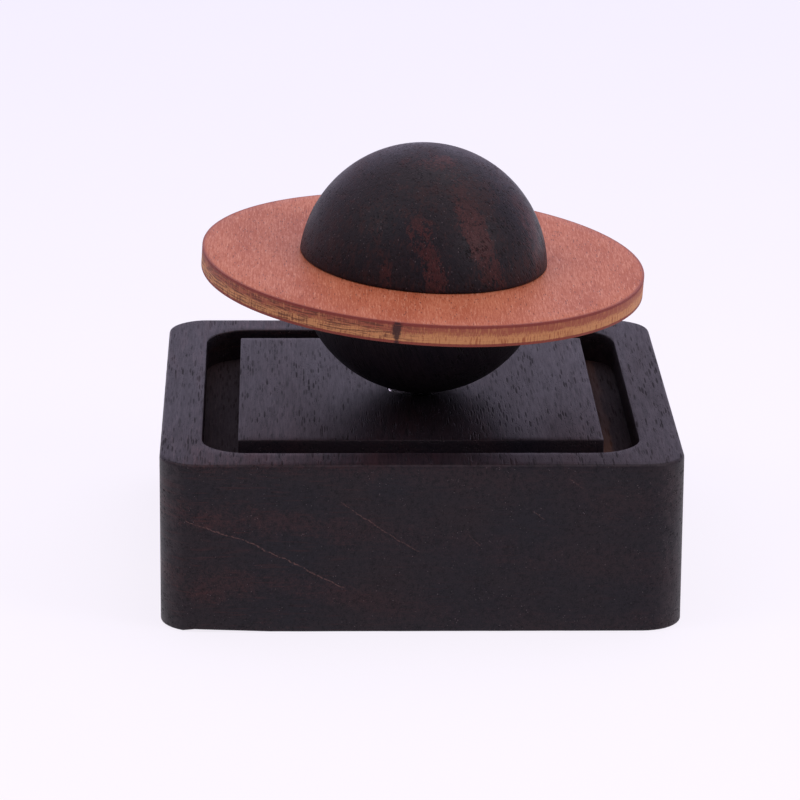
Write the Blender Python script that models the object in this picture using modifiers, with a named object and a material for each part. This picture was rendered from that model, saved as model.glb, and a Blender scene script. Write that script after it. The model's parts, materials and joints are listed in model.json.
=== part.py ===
"""Ringed planet puzzle box.

A ringed wooden planet stands on the square plate of a low puzzle box. A magnet in the ball
and a magnet in the plate hold the two together. The plate slides left and right and back
and forth in a shallow pocket, on a cross slide hidden under the pocket's floor, and a
drawer runs out of the back of the box below it.

Frame: origin at the centre of the box's underside, +X right, +Y back, +Z up, in metres.
"""
import math

import bmesh
import bpy
from mathutils import Matrix, Vector

MM = 0.001

# Fits
FIT_GAP = 0.3 * MM              # left between any two pieces that touch
THROUGH = 1.0 * MM              # how far a cutter runs past the face it opens

# Box
BOX_SIDE = 70.0 * MM
BOX_WALL = 5.56 * MM
BOX_CORNER_RADIUS = 5.5 * MM
BOX_EDGE_ROUND = 0.5 * MM
POCKET_CORNER_RADIUS = 6.3 * MM

# Layers of the box, from the underside up: they add up to its height of 23.4 mm
BOTTOM_PANEL_THICKNESS = 3.0 * MM
DRAWER_SPACE_HEIGHT = 7.0 * MM
MIDDLE_PANEL_THICKNESS = 2.0 * MM
SLIDE_SPACE_HEIGHT = 3.97 * MM
POCKET_FLOOR_THICKNESS = 3.0 * MM
POCKET_DEPTH = 4.43 * MM

# Plate and the cross slide that carries it
MOAT_WIDTH = 4.86 * MM          # open channel between the plate and the pocket's wall
PLATE_PROUD = 0.2 * MM          # plate's top above the rim of the box
PLATE_EDGE_ROUND = 0.2 * MM
PLATE_CORNER_CLEARANCE = 0.445 * MM  # from the pocket's round corner, when moved both ways at once
NECK_SIDE = 17.0 * MM
Y_SLIDE_SIDE = 26.0 * MM
X_SLIDE_END_CLEARANCE = 0.74 * MM    # from the wall, at the end of its travel
RAIL_WIDTH = 3.94 * MM

# Magnet spindle in the plate
PLATE_MAGNET_DIAMETER = 8.0 * MM
PLATE_MAGNET_THICKNESS = 1.5 * MM
PLATE_MAGNET_SUNK = 0.1 * MM
SPINDLE_HEAD_THICKNESS = 1.0 * MM
SPINDLE_DIAMETER = 4.0 * MM
SPINDLE_GROOVE_DIAMETER = 2.8 * MM
SPINDLE_TAIL = 0.6 * MM         # stub below the groove
CLIP_THICKNESS = 0.5 * MM
CLIP_DIAMETER = 6.6 * MM
CLIP_OPENING = math.radians(80)

# Planet
BALL_RADIUS = 17.2 * MM
CAP_SHIFT = 0.25 * MM           # each half ball's centre stands this far from the ring's middle
RING_RADIUS = 30.6 * MM
RING_THICKNESS = 2.94 * MM
RING_EDGE_ROUND = 0.15 * MM
LEAN = math.radians(4.1)
LEAN_HEADING = math.radians(-30)
DOWEL_DIAMETER = 8.0 * MM
DOWEL_REACH = 11.0 * MM         # into the upper half ball, from the ring's middle
PLANET_MAGNET_THICKNESS = 3.0 * MM
POLE_SKIN = 2.0 * MM            # wood left under the planet's magnet

# Drawer
RUNNER_WIDTH = 8.84 * MM
TRAY_SIDE_WALL = 2.5 * MM
TRAY_END_WALL = 3.6 * MM
TRAY_FLOOR = 1.5 * MM
TRAY_CORNER_RADIUS = 3.0 * MM
CATCH_BLOCK_WIDTH = 24.0 * MM
CATCH_BLOCK_DEPTH = 4.3 * MM
CATCH_MAGNET_DIAMETER = 4.0 * MM
CATCH_MAGNET_THICKNESS = 2.0 * MM

# Countersunk wood screws
SCREW_SHANK_DIAMETER = 2.4 * MM
SCREW_HEAD_DIAMETER = 4.6 * MM
SCREW_HEAD_HEIGHT = 1.4 * MM
SCREW_HEAD_RIM = 0.3 * MM
SCREW_POINT = 1.2 * MM
SCREW_SLOT_WIDTH = 0.8 * MM
SCREW_SLOT_DEPTH = 0.6 * MM
SCREW_SUNK = 0.2 * MM
BOTTOM_SCREW_Y = 15.0 * MM
NECK_SCREW_OFFSET = 5.2 * MM
SCREW_COVER = 0.8 * MM          # wood left over a screw's point

# Smoothness of round shapes
CORNER_SEGMENTS = 8
SMALL_ROUND_STEPS = 24
BALL_STEPS = 48
BALL_ARC_POINTS = 14
RING_STEPS = 96

# Heights, from the underside up
BOTTOM_PANEL_TOP = BOTTOM_PANEL_THICKNESS
MIDDLE_PANEL_BOTTOM = BOTTOM_PANEL_TOP + DRAWER_SPACE_HEIGHT
MIDDLE_PANEL_TOP = MIDDLE_PANEL_BOTTOM + MIDDLE_PANEL_THICKNESS
POCKET_FLOOR_BOTTOM = MIDDLE_PANEL_TOP + SLIDE_SPACE_HEIGHT
POCKET_FLOOR_TOP = POCKET_FLOOR_BOTTOM + POCKET_FLOOR_THICKNESS
BOX_HEIGHT = POCKET_FLOOR_TOP + POCKET_DEPTH
SLIDE_BOTTOM = MIDDLE_PANEL_TOP + FIT_GAP
SLIDE_TOP = POCKET_FLOOR_BOTTOM - FIT_GAP
DRAWER_BOTTOM = BOTTOM_PANEL_TOP + FIT_GAP
DRAWER_TOP = MIDDLE_PANEL_BOTTOM - FIT_GAP
DRAWER_MIDDLE = (DRAWER_BOTTOM + DRAWER_TOP) / 2
PLATE_BOTTOM = POCKET_FLOOR_TOP + FIT_GAP
PLATE_TOP = BOX_HEIGHT + PLATE_PROUD
NECK_BOTTOM = SLIDE_TOP + FIT_GAP
NECK_TOP = PLATE_BOTTOM - FIT_GAP
PLATE_MAGNET_TOP = PLATE_TOP - PLATE_MAGNET_SUNK
SPINDLE_TOP = PLATE_MAGNET_TOP - PLATE_MAGNET_THICKNESS - FIT_GAP
SPINDLE_SHOULDER = SPINDLE_TOP - SPINDLE_HEAD_THICKNESS
SPINDLE_FOOT = SLIDE_BOTTOM + FIT_GAP
GROOVE_BOTTOM = SPINDLE_FOOT + SPINDLE_TAIL
GROOVE_TOP = GROOVE_BOTTOM + CLIP_THICKNESS + 2 * FIT_GAP

# Plan sizes
BOX_HALF = BOX_SIDE / 2
POCKET_HALF = BOX_HALF - BOX_WALL
PANEL_HALF = POCKET_HALF - FIT_GAP
PANEL_CORNER_RADIUS = POCKET_CORNER_RADIUS - FIT_GAP
STRAIGHT_HALF = POCKET_HALF - POCKET_CORNER_RADIUS
PLATE_HALF = POCKET_HALF - MOAT_WIDTH
CORNER_REACH = (POCKET_CORNER_RADIUS - PLATE_CORNER_CLEARANCE) / math.sqrt(2)
PLATE_TRAVEL = STRAIGHT_HALF + CORNER_REACH - PLATE_HALF  # each way from the middle, 2.7 mm
NECK_HALF = NECK_SIDE / 2
WINDOW_HALF = NECK_HALF + PLATE_TRAVEL + FIT_GAP
Y_SLIDE_HALF = Y_SLIDE_SIDE / 2
RAIL_INNER = PANEL_HALF - RAIL_WIDTH
X_SLIDE_HALF_WIDTH = RAIL_INNER - FIT_GAP
X_SLIDE_HALF_LENGTH = POCKET_HALF - PLATE_TRAVEL - X_SLIDE_END_CLEARANCE
RUNNER_INNER = PANEL_HALF - RUNNER_WIDTH
DRAWER_HALF = RUNNER_INNER - FIT_GAP
CATCH_FACE_Y = CATCH_BLOCK_DEPTH - PANEL_HALF
TRAY_INNER_END_Y = CATCH_FACE_Y + FIT_GAP
TRAY_OUTER_END_Y = POCKET_HALF
DRAWER_FACE_Y = TRAY_OUTER_END_Y + FIT_GAP
BOTTOM_SCREW_X = (RUNNER_INNER + PANEL_HALF) / 2

# Planet's place: its magnet stays centred over the plate's magnet as the ball leans
RING_FACE = RING_THICKNESS / 2
CAP_FACE = RING_FACE + FIT_GAP
POLE = BALL_RADIUS + CAP_SHIFT
PLANET_BORE_END = POLE - POLE_SKIN
PLANET_MAGNET_LOW = PLANET_BORE_END - FIT_GAP
PLANET_MAGNET_HIGH = PLANET_MAGNET_LOW - PLANET_MAGNET_THICKNESS
PLANET_MAGNET_MIDDLE = (PLANET_MAGNET_LOW + PLANET_MAGNET_HIGH) / 2
DOWEL_LOW = PLANET_MAGNET_HIGH - FIT_GAP
PLANET_AXIS = Vector((math.sin(LEAN) * math.cos(LEAN_HEADING),
                      math.sin(LEAN) * math.sin(LEAN_HEADING),
                      math.cos(LEAN)))
PLANET_CENTRE = Vector((PLANET_MAGNET_MIDDLE * PLANET_AXIS.x,
                        PLANET_MAGNET_MIDDLE * PLANET_AXIS.y,
                        PLATE_TOP + FIT_GAP + BALL_RADIUS + CAP_SHIFT * PLANET_AXIS.z))

# Colour, roughness, metallic
LOOKS = {
    "dark_hardwood": ((0.045, 0.030, 0.034), 0.50, 0.0),
    "ball_hardwood": ((0.060, 0.026, 0.018), 0.40, 0.0),
    "ring_plywood": ((0.420, 0.160, 0.095), 0.55, 0.0),
    "inner_plywood": ((0.480, 0.330, 0.190), 0.65, 0.0),
    "beech": ((0.560, 0.380, 0.220), 0.60, 0.0),
    "nickel_magnet": ((0.620, 0.620, 0.640), 0.25, 1.0),
    "brass": ((0.700, 0.520, 0.220), 0.30, 1.0),
    "steel": ((0.560, 0.560, 0.570), 0.35, 1.0),
}


# ---------------------------------------------------------------- scene, materials, objects

def clear_scene():
    """Remove every object, so that the script can be run again."""
    for thing in list(bpy.data.objects):
        bpy.data.objects.remove(thing, do_unlink=True)


def new_collection(name):
    """Make a collection in the scene."""
    collection = bpy.data.collections.new(name)
    bpy.context.scene.collection.children.link(collection)
    return collection


def look(object_name, look_name):
    """Give the object a Principled material of its own."""
    colour, roughness, metallic = LOOKS[look_name]
    material = bpy.data.materials.new(f"{object_name}_{look_name}")
    material.use_nodes = True
    shader = material.node_tree.nodes["Principled BSDF"]
    shader.inputs["Base Color"].default_value = (*colour, 1.0)
    shader.inputs["Roughness"].default_value = roughness
    shader.inputs["Metallic"].default_value = metallic
    return material


def add_piece(name, mesh, look_name):
    """Put a mesh into the parts collection as a named sub-part."""
    piece = bpy.data.objects.new(name, mesh)
    mesh.materials.append(look(name, look_name))
    PARTS.objects.link(piece)
    return piece


def add_cutter(name, mesh):
    """Put a mesh into the cutters collection."""
    cutter = bpy.data.objects.new(name, mesh)
    cutter.display_type = "WIRE"
    cutter.hide_render = True
    CUTTERS.objects.link(cutter)
    return cutter


def cut(piece, cutter):
    """Take the cutter's shape out of the piece."""
    boolean = piece.modifiers.new(cutter.name, "BOOLEAN")
    boolean.operation = "DIFFERENCE"
    boolean.solver = "EXACT"
    boolean.object = cutter


def round_edges(piece, width, segments=2):
    """Round the piece's sharp edges; the shallow steps of its arcs stay as they are."""
    bevel = piece.modifiers.new("edge_round", "BEVEL")
    bevel.width = width
    bevel.segments = segments
    bevel.limit_method = "ANGLE"
    bevel.angle_limit = math.radians(40)


def smooth(piece):
    """Shade a round piece smooth between its sharp edges."""
    piece.data.shade_smooth()
    piece.data.set_sharp_from_angle(angle=math.radians(35))


# ---------------------------------------------------------------- shapes

def block_mesh(name, low, high):
    """Box between two opposite corners."""
    low = Vector(low)
    high = Vector(high)
    mesh = bpy.data.meshes.new(name)
    shape = bmesh.new()
    bmesh.ops.create_cube(shape, size=1.0)
    size = Matrix.Diagonal((*(high - low), 1.0))
    bmesh.ops.transform(shape, matrix=Matrix.Translation((low + high) / 2) @ size, verts=shape.verts)
    shape.to_mesh(mesh)
    shape.free()
    return mesh


def rod_mesh(name, radius, low, high, steps=SMALL_ROUND_STEPS):
    """Cylinder on the Z axis between two heights."""
    mesh = bpy.data.meshes.new(name)
    shape = bmesh.new()
    bmesh.ops.create_cone(shape, cap_ends=True, segments=steps, radius1=radius, radius2=radius,
                          depth=high - low)
    bmesh.ops.translate(shape, vec=(0, 0, (low + high) / 2), verts=shape.verts)
    shape.to_mesh(mesh)
    shape.free()
    return mesh


def rounded_outline(half_x, half_y, radius):
    """Corners of a rectangle, each one an arc of the given radius."""
    if radius <= 0:
        return [(half_x, half_y), (-half_x, half_y), (-half_x, -half_y), (half_x, -half_y)]
    points = []
    for quarter, (sign_x, sign_y) in enumerate(((1, 1), (-1, 1), (-1, -1), (1, -1))):
        for step in range(CORNER_SEGMENTS + 1):
            angle = (quarter + step / CORNER_SEGMENTS) * math.pi / 2
            points.append((sign_x * (half_x - radius) + radius * math.cos(angle),
                           sign_y * (half_y - radius) + radius * math.sin(angle)))
    return points


def flat_mesh(name, outlines, low, high):
    """Flat piece between two heights, with the later outlines as holes in the first."""
    curve = bpy.data.curves.new(name + "_outline", "CURVE")
    curve.dimensions = "2D"
    curve.fill_mode = "BOTH"
    curve.extrude = (high - low) / 2
    for outline in outlines:
        spline = curve.splines.new("POLY")
        spline.points.add(len(outline) - 1)
        spline.use_cyclic_u = True
        for point, (x, y) in zip(spline.points, outline):
            point.co = (x, y, 0, 1)
    drawing = bpy.data.objects.new(name + "_outline", curve)
    bpy.context.scene.collection.objects.link(drawing)
    evaluated = drawing.evaluated_get(bpy.context.evaluated_depsgraph_get())
    mesh = bpy.data.meshes.new_from_object(evaluated)
    mesh.name = name
    bpy.data.objects.remove(drawing, do_unlink=True)
    shape = bmesh.new()
    shape.from_mesh(mesh)
    bmesh.ops.remove_doubles(shape, verts=shape.verts, dist=0.001 * MM)
    bmesh.ops.translate(shape, vec=(0, 0, (low + high) / 2), verts=shape.verts)
    shape.to_mesh(mesh)
    shape.free()
    return mesh


def profile_mesh(name, profile):
    """Open line of (radius, height) points, from the top down, for a turned piece."""
    mesh = bpy.data.meshes.new(name)
    points = [(radius, 0, height) for radius, height in profile]
    mesh.from_pydata(points, [(i, i + 1) for i in range(len(points) - 1)], [])
    return mesh


def turn(piece, steps):
    """Turn the piece's profile once round its own Z axis."""
    screw = piece.modifiers.new("turning", "SCREW")
    screw.steps = steps
    screw.render_steps = steps
    screw.use_merge_vertices = True
    screw.merge_threshold = 0.001 * MM
    screw.use_smooth_shade = False


def drill(piece, name, radius, low, high, x=0.0, y=0.0, steps=SMALL_ROUND_STEPS):
    """Bore an upright hole in the piece."""
    cutter = add_cutter(name, rod_mesh(name, radius, low, high, steps))
    cutter.location = (x, y, 0)
    cut(piece, cutter)
    return cutter


# ---------------------------------------------------------------- box

def make_box_frame():
    """Walls of the box: one block cut right through, with the drawer's slot in its back."""
    outlines = [rounded_outline(BOX_HALF, BOX_HALF, BOX_CORNER_RADIUS),
                rounded_outline(POCKET_HALF, POCKET_HALF, POCKET_CORNER_RADIUS)]
    frame = add_piece("box_frame", flat_mesh("box_frame", outlines, 0, BOX_HEIGHT), "dark_hardwood")
    round_edges(frame, BOX_EDGE_ROUND)
    slot = block_mesh("drawer_slot",
                      (-RUNNER_INNER, POCKET_HALF - THROUGH, BOTTOM_PANEL_TOP),
                      (RUNNER_INNER, BOX_HALF + THROUGH, MIDDLE_PANEL_BOTTOM))
    cut(frame, add_cutter("drawer_slot", slot))


def make_panel(name, low, high, look_name, window_half=0.0):
    """Board that fills the box between two heights, with a square window if one is asked for."""
    outlines = [rounded_outline(PANEL_HALF, PANEL_HALF, PANEL_CORNER_RADIUS)]
    if window_half > 0:
        outlines.append(rounded_outline(window_half, window_half, 0))
    return add_piece(name, flat_mesh(name, outlines, low, high), look_name)


def make_rails():
    """Bars along the front and back walls that guide the X slide."""
    for name, side in (("x_rail_front", -1), ("x_rail_back", 1)):
        inner = side * RAIL_INNER
        outer = side * PANEL_HALF
        mesh = block_mesh(name,
                          (-STRAIGHT_HALF, min(inner, outer), SLIDE_BOTTOM),
                          (STRAIGHT_HALF, max(inner, outer), SLIDE_TOP))
        add_piece(name, mesh, "beech")


def make_runners():
    """Bars either side of the drawer, bored for the screws of the bottom panel."""
    for name, side in (("drawer_runner_left", -1), ("drawer_runner_right", 1)):
        inner = side * RUNNER_INNER
        outer = side * PANEL_HALF
        mesh = block_mesh(name,
                          (min(inner, outer), -STRAIGHT_HALF, DRAWER_BOTTOM),
                          (max(inner, outer), STRAIGHT_HALF, DRAWER_TOP))
        runner = add_piece(name, mesh, "beech")
        for end, y in (("front", -BOTTOM_SCREW_Y), ("back", BOTTOM_SCREW_Y)):
            drill(runner, f"{name}_{end}_pilot", SCREW_SHANK_DIAMETER / 2 + FIT_GAP,
                  DRAWER_BOTTOM - THROUGH, DRAWER_TOP - SCREW_COVER + FIT_GAP,
                  side * BOTTOM_SCREW_X, y)


# ---------------------------------------------------------------- screws

def screw_profile(head, point, extra):
    """Countersunk screw that stands head down; extra is added all round for its hole."""
    shank = SCREW_SHANK_DIAMETER / 2 + extra
    rim = SCREW_HEAD_DIAMETER / 2 + extra
    return [(0, point + extra),
            (shank * 0.3, point + extra),
            (shank, point - SCREW_POINT + extra),
            (shank, head + SCREW_HEAD_HEIGHT + extra),
            (rim, head + SCREW_HEAD_RIM + extra),
            (rim, head - (THROUGH if extra else 0)),
            (0, head - (THROUGH if extra else 0))]


def make_screw(name, x, y, head, point, holed):
    """Slotted screw, and its countersunk hole in each of the holed pieces."""
    screw = add_piece(name, profile_mesh(name, screw_profile(head, point, 0)), "steel")
    screw.location = (x, y, 0)
    turn(screw, SMALL_ROUND_STEPS)
    slot = block_mesh(name + "_slot",
                      (-SCREW_HEAD_DIAMETER, -SCREW_SLOT_WIDTH / 2, head - THROUGH),
                      (SCREW_HEAD_DIAMETER, SCREW_SLOT_WIDTH / 2, head + SCREW_SLOT_DEPTH))
    slot_cutter = add_cutter(name + "_slot", slot)
    slot_cutter.location = (x, y, 0)
    slot_cutter.rotation_euler = (0, 0, math.atan2(y, x))
    cut(screw, slot_cutter)
    hole = add_cutter(name + "_hole", profile_mesh(name + "_hole", screw_profile(head, point, FIT_GAP)))
    hole.location = (x, y, 0)
    turn(hole, SMALL_ROUND_STEPS)
    for piece in holed:
        cut(piece, hole)


def make_bottom_screws(panel):
    """Four screws through the bottom panel into the drawer's runners."""
    places = (("front_left", -1, -1), ("front_right", 1, -1), ("back_left", -1, 1), ("back_right", 1, 1))
    for place, side_x, side_y in places:
        make_screw(f"bottom_screw_{place}", side_x * BOTTOM_SCREW_X, side_y * BOTTOM_SCREW_Y,
                   SCREW_SUNK, DRAWER_TOP - SCREW_COVER - FIT_GAP, [panel])


# ---------------------------------------------------------------- plate and cross slide

def make_x_slide():
    """Frame that runs left and right between the rails and guides the Y slide."""
    outlines = [rounded_outline(X_SLIDE_HALF_LENGTH, X_SLIDE_HALF_WIDTH, 0),
                rounded_outline(Y_SLIDE_HALF + FIT_GAP, Y_SLIDE_HALF + PLATE_TRAVEL + FIT_GAP, 0)]
    add_piece("x_slide", flat_mesh("x_slide", outlines, SLIDE_BOTTOM, SLIDE_TOP), "inner_plywood")


def make_plate_stack():
    """Y slide, neck and plate: three boards screwed together through the floor's window."""
    slide = add_piece("y_slide", block_mesh("y_slide",
                                            (-Y_SLIDE_HALF, -Y_SLIDE_HALF, SLIDE_BOTTOM),
                                            (Y_SLIDE_HALF, Y_SLIDE_HALF, SLIDE_TOP)), "inner_plywood")
    neck = add_piece("plate_neck", block_mesh("plate_neck",
                                              (-NECK_HALF, -NECK_HALF, NECK_BOTTOM),
                                              (NECK_HALF, NECK_HALF, NECK_TOP)), "beech")
    plate = add_piece("top_plate", block_mesh("top_plate",
                                              (-PLATE_HALF, -PLATE_HALF, PLATE_BOTTOM),
                                              (PLATE_HALF, PLATE_HALF, PLATE_TOP)), "dark_hardwood")
    round_edges(plate, PLATE_EDGE_ROUND)

    spindle_bore = SPINDLE_DIAMETER / 2 + FIT_GAP
    for piece in (slide, neck, plate):
        drill(piece, f"{piece.name}_spindle_bore", spindle_bore,
              SLIDE_BOTTOM - THROUGH, PLATE_TOP + THROUGH)
    drill(plate, "magnet_seat", PLATE_MAGNET_DIAMETER / 2 + FIT_GAP,
          SPINDLE_SHOULDER - FIT_GAP, PLATE_TOP + THROUGH, steps=2 * SMALL_ROUND_STEPS)
    drill(slide, "clip_recess", CLIP_DIAMETER / 2 + FIT_GAP,
          SLIDE_BOTTOM - THROUGH, GROOVE_TOP)
    for number, side in ((1, -1), (2, 1)):
        make_screw(f"neck_screw_{number}", side * NECK_SCREW_OFFSET, side * NECK_SCREW_OFFSET,
                   SLIDE_BOTTOM + SCREW_SUNK, PLATE_TOP - SCREW_COVER - FIT_GAP, [slide, neck, plate])


def make_magnet_spindle():
    """Magnet flush in the plate, the spindle it turns on, and the clip that keeps it in."""
    magnet = add_piece("plate_magnet",
                       rod_mesh("plate_magnet", PLATE_MAGNET_DIAMETER / 2,
                                PLATE_MAGNET_TOP - PLATE_MAGNET_THICKNESS, PLATE_MAGNET_TOP,
                                2 * SMALL_ROUND_STEPS), "nickel_magnet")
    smooth(magnet)

    head = PLATE_MAGNET_DIAMETER / 2
    shank = SPINDLE_DIAMETER / 2
    groove = SPINDLE_GROOVE_DIAMETER / 2
    profile = [(0, SPINDLE_TOP), (head, SPINDLE_TOP), (head, SPINDLE_SHOULDER),
               (shank, SPINDLE_SHOULDER), (shank, GROOVE_TOP), (groove, GROOVE_TOP),
               (groove, GROOVE_BOTTOM), (shank, GROOVE_BOTTOM), (shank, SPINDLE_FOOT),
               (0, SPINDLE_FOOT)]
    spindle = add_piece("magnet_spindle", profile_mesh("magnet_spindle", profile), "brass")
    turn(spindle, SMALL_ROUND_STEPS)

    outer = CLIP_DIAMETER / 2
    inner = groove + FIT_GAP
    sweep = 2 * math.pi - CLIP_OPENING
    angles = [CLIP_OPENING / 2 + sweep * i / SMALL_ROUND_STEPS for i in range(SMALL_ROUND_STEPS + 1)]
    outline = [(outer * math.cos(a), outer * math.sin(a)) for a in angles]
    outline += [(inner * math.cos(a), inner * math.sin(a)) for a in reversed(angles)]
    low = GROOVE_BOTTOM + FIT_GAP
    add_piece("spindle_clip", flat_mesh("spindle_clip", [outline], low, low + CLIP_THICKNESS), "steel")


# ---------------------------------------------------------------- planet

def cap_profile(bore_end):
    """Half ball above the ring, bored from its flat face; its pole is at the top."""
    rim_angle = math.asin((CAP_FACE - CAP_SHIFT) / BALL_RADIUS)
    bore = DOWEL_DIAMETER / 2 + FIT_GAP
    profile = []
    for i in range(BALL_ARC_POINTS + 1):
        angle = math.pi / 2 + (rim_angle - math.pi / 2) * i / BALL_ARC_POINTS
        profile.append((BALL_RADIUS * math.cos(angle), CAP_SHIFT + BALL_RADIUS * math.sin(angle)))
    profile[0] = (0, CAP_SHIFT + BALL_RADIUS)
    return profile + [(bore, CAP_FACE), (bore, bore_end), (0, bore_end)]


def lean_on_pivot(piece, pivot):
    """Place a piece that is drawn about the planet's centre with its axis upright."""
    piece.parent = pivot
    smooth(piece)


def make_planet():
    """Two half balls that clasp the ring on a dowel, with a magnet at the south pole."""
    pivot = bpy.data.objects.new("planet_pivot", None)
    pivot.location = PLANET_CENTRE
    pivot.rotation_mode = "QUATERNION"
    pivot.rotation_quaternion = Vector((0, 0, 1)).rotation_difference(PLANET_AXIS)
    PARTS.objects.link(pivot)

    upper = add_piece("planet_upper_half",
                      profile_mesh("planet_upper_half", cap_profile(DOWEL_REACH + FIT_GAP)), "ball_hardwood")
    turn(upper, BALL_STEPS)
    lean_on_pivot(upper, pivot)

    lower = add_piece("planet_lower_half",
                      profile_mesh("planet_lower_half", cap_profile(PLANET_BORE_END)), "ball_hardwood")
    turn(lower, BALL_STEPS)
    lean_on_pivot(lower, pivot)
    lower.rotation_euler = (math.pi, 0, 0)

    bore = DOWEL_DIAMETER / 2 + FIT_GAP
    edge = RING_EDGE_ROUND
    profile = [(bore, RING_FACE), (RING_RADIUS - edge, RING_FACE), (RING_RADIUS, RING_FACE - edge),
               (RING_RADIUS, edge - RING_FACE), (RING_RADIUS - edge, -RING_FACE), (bore, -RING_FACE)]
    ring = add_piece("planet_ring", profile_mesh("planet_ring", profile + profile[:1]), "ring_plywood")
    turn(ring, RING_STEPS)
    lean_on_pivot(ring, pivot)

    dowel = add_piece("planet_dowel",
                      rod_mesh("planet_dowel", DOWEL_DIAMETER / 2, -DOWEL_LOW, DOWEL_REACH), "beech")
    lean_on_pivot(dowel, pivot)

    magnet = add_piece("planet_magnet",
                       rod_mesh("planet_magnet", PLATE_MAGNET_DIAMETER / 2,
                                -PLANET_MAGNET_LOW, -PLANET_MAGNET_HIGH), "nickel_magnet")
    lean_on_pivot(magnet, pivot)


# ---------------------------------------------------------------- drawer

def lay_along_y(piece):
    """Lay a disc that is drawn on the Z axis along Y, at the drawer's middle height."""
    piece.rotation_euler = (-math.pi / 2, 0, 0)
    piece.location = (0, 0, DRAWER_MIDDLE)


def add_disc_magnet(name, low, high):
    """Small disc magnet that lies along Y; low and high are its ends."""
    radius = CATCH_MAGNET_DIAMETER / 2
    magnet = add_piece(name, rod_mesh(name, radius, low, high), "nickel_magnet")
    lay_along_y(magnet)
    smooth(magnet)


def bore_along_y(name, holder, low, high):
    """Blind bore for a small disc magnet; low and high are its ends along Y."""
    radius = CATCH_MAGNET_DIAMETER / 2 + FIT_GAP
    cutter = add_cutter(name, rod_mesh(name, radius, low, high))
    lay_along_y(cutter)
    cut(holder, cutter)


def make_drawer():
    """Tray and face of the drawer, and the pair of magnets that keeps it shut."""
    tray = add_piece("drawer_tray", block_mesh("drawer_tray",
                                               (-DRAWER_HALF, TRAY_INNER_END_Y, DRAWER_BOTTOM),
                                               (DRAWER_HALF, TRAY_OUTER_END_Y, DRAWER_TOP)), "beech")
    hollow_low = TRAY_INNER_END_Y + TRAY_END_WALL
    hollow_high = TRAY_OUTER_END_Y - TRAY_SIDE_WALL
    outline = rounded_outline(DRAWER_HALF - TRAY_SIDE_WALL, (hollow_high - hollow_low) / 2,
                              TRAY_CORNER_RADIUS)
    hollow = add_cutter("tray_hollow", flat_mesh("tray_hollow", [outline],
                                                 DRAWER_BOTTOM + TRAY_FLOOR, DRAWER_TOP + THROUGH))
    hollow.location = (0, (hollow_low + hollow_high) / 2, 0)
    cut(tray, hollow)

    face = add_piece("drawer_face", block_mesh("drawer_face",
                                               (-DRAWER_HALF, DRAWER_FACE_Y, DRAWER_BOTTOM),
                                               (DRAWER_HALF, BOX_HALF, DRAWER_TOP)), "dark_hardwood")
    round_edges(face, PLATE_EDGE_ROUND)

    block = add_piece("catch_block", block_mesh("catch_block",
                                                (-CATCH_BLOCK_WIDTH / 2, -PANEL_HALF, DRAWER_BOTTOM),
                                                (CATCH_BLOCK_WIDTH / 2, CATCH_FACE_Y, DRAWER_TOP)), "beech")
    magnet_depth = CATCH_MAGNET_THICKNESS + FIT_GAP
    bore_along_y("catch_magnet_bore", block, CATCH_FACE_Y - magnet_depth - FIT_GAP, CATCH_FACE_Y + THROUGH)
    add_disc_magnet("catch_magnet", CATCH_FACE_Y - magnet_depth, CATCH_FACE_Y - FIT_GAP)
    bore_along_y("drawer_magnet_bore", tray, TRAY_INNER_END_Y - THROUGH,
                 TRAY_INNER_END_Y + magnet_depth + FIT_GAP)
    add_disc_magnet("drawer_magnet", TRAY_INNER_END_Y + FIT_GAP, TRAY_INNER_END_Y + magnet_depth)


# ---------------------------------------------------------------- whole object

clear_scene()
PARTS = new_collection("ringed_planet_puzzle_box")
CUTTERS = new_collection("cutters")

make_box_frame()
make_panel("pocket_floor", POCKET_FLOOR_BOTTOM, POCKET_FLOOR_TOP, "dark_hardwood", WINDOW_HALF)
make_panel("middle_panel", MIDDLE_PANEL_BOTTOM, MIDDLE_PANEL_TOP, "inner_plywood")
bottom_panel = make_panel("bottom_panel", 0, BOTTOM_PANEL_TOP, "dark_hardwood")
make_rails()
make_runners()
make_bottom_screws(bottom_panel)
make_x_slide()
make_plate_stack()
make_magnet_spindle()
make_drawer()
make_planet()
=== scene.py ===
# %% [markdown]
# # A ringed planet puzzle box
# This lesson dresses a small wooden puzzle: a low square box of nearly black hardwood, a square
# plate that floats in a shallow pocket in its top, and a turned wooden ball with a plywood ring,
# which stands on a magnet in the middle of the plate. The engineering model is loaded first and
# is never moved. Every piece made here takes its place from that model and then rides on one of
# its moving bodies, so that the puzzle still slides, turns and opens.

# %% Load the frame
import json
import math

import bmesh
import bpy
from mathutils import Matrix, Vector, noise


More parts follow.
